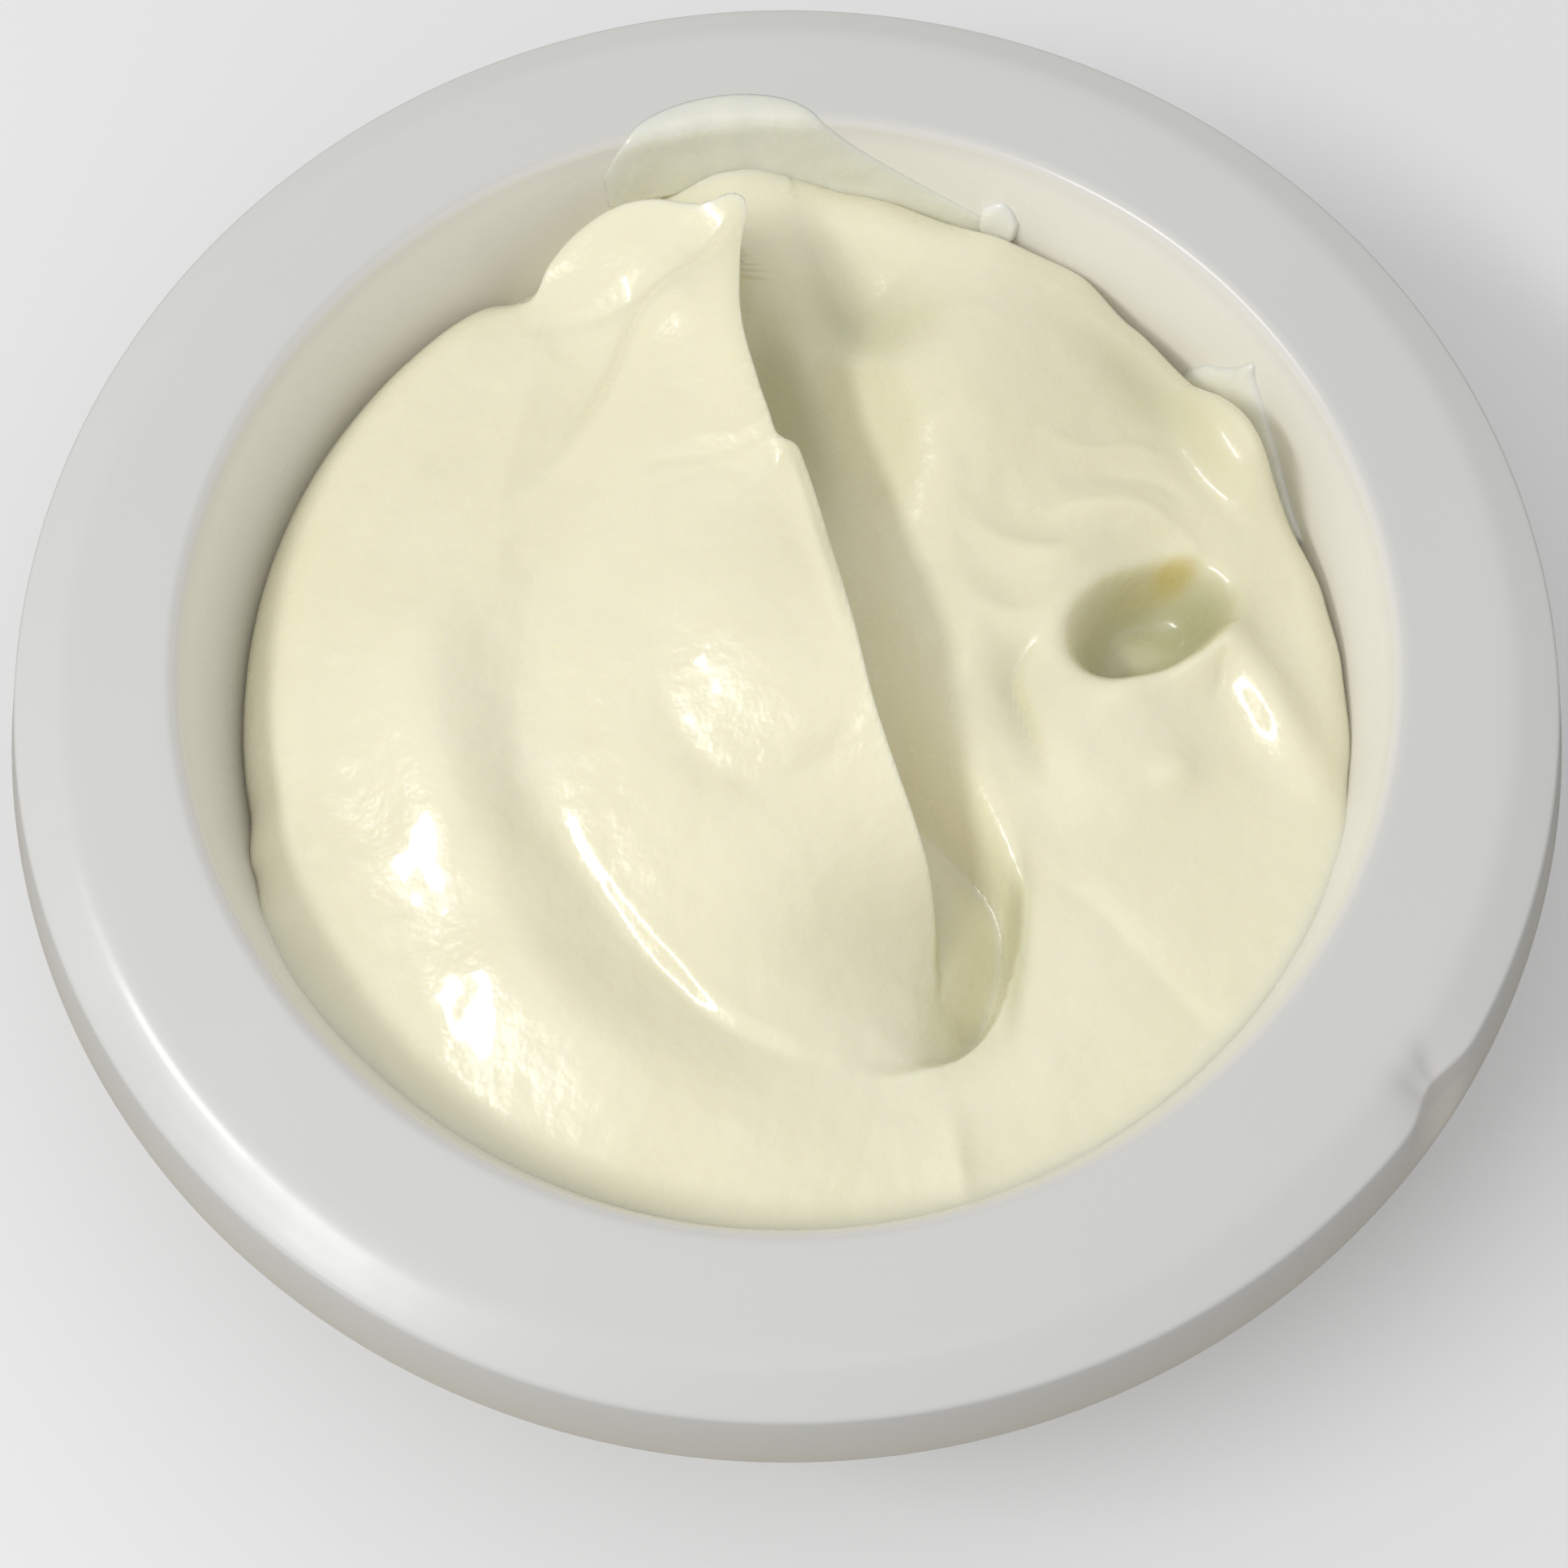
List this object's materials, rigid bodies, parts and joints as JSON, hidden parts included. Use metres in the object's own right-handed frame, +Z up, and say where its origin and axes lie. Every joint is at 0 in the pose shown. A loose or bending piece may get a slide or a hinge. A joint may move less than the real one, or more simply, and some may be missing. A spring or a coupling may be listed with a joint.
{
  "type": "bowl of sour cream",
  "caption": "Wide-rimmed round white bowl with a flared skirt, filled with thick white cream that a spoon has folded into a crested swirl.",
  "frame": {"origin": "middle of the foot ring, on the surface that the bowl stands on", "axes": "+Z up; +Y towards the peak of the fold; +X to the right of the fold, on the side of the trough and the pit"},
  "size_m": [0.1636, 0.1636, 0.0475],
  "materials": {
    "bowl": "glossy moulded white plastic, faint streaks along the rim",
    "cream": "wet, smooth, ivory-white cream with ragged highlights"
  },
  "bodies": {
    "root": {"bowl": "bowl", "sour_cream": "cream"}
  },
  "joints": []
}
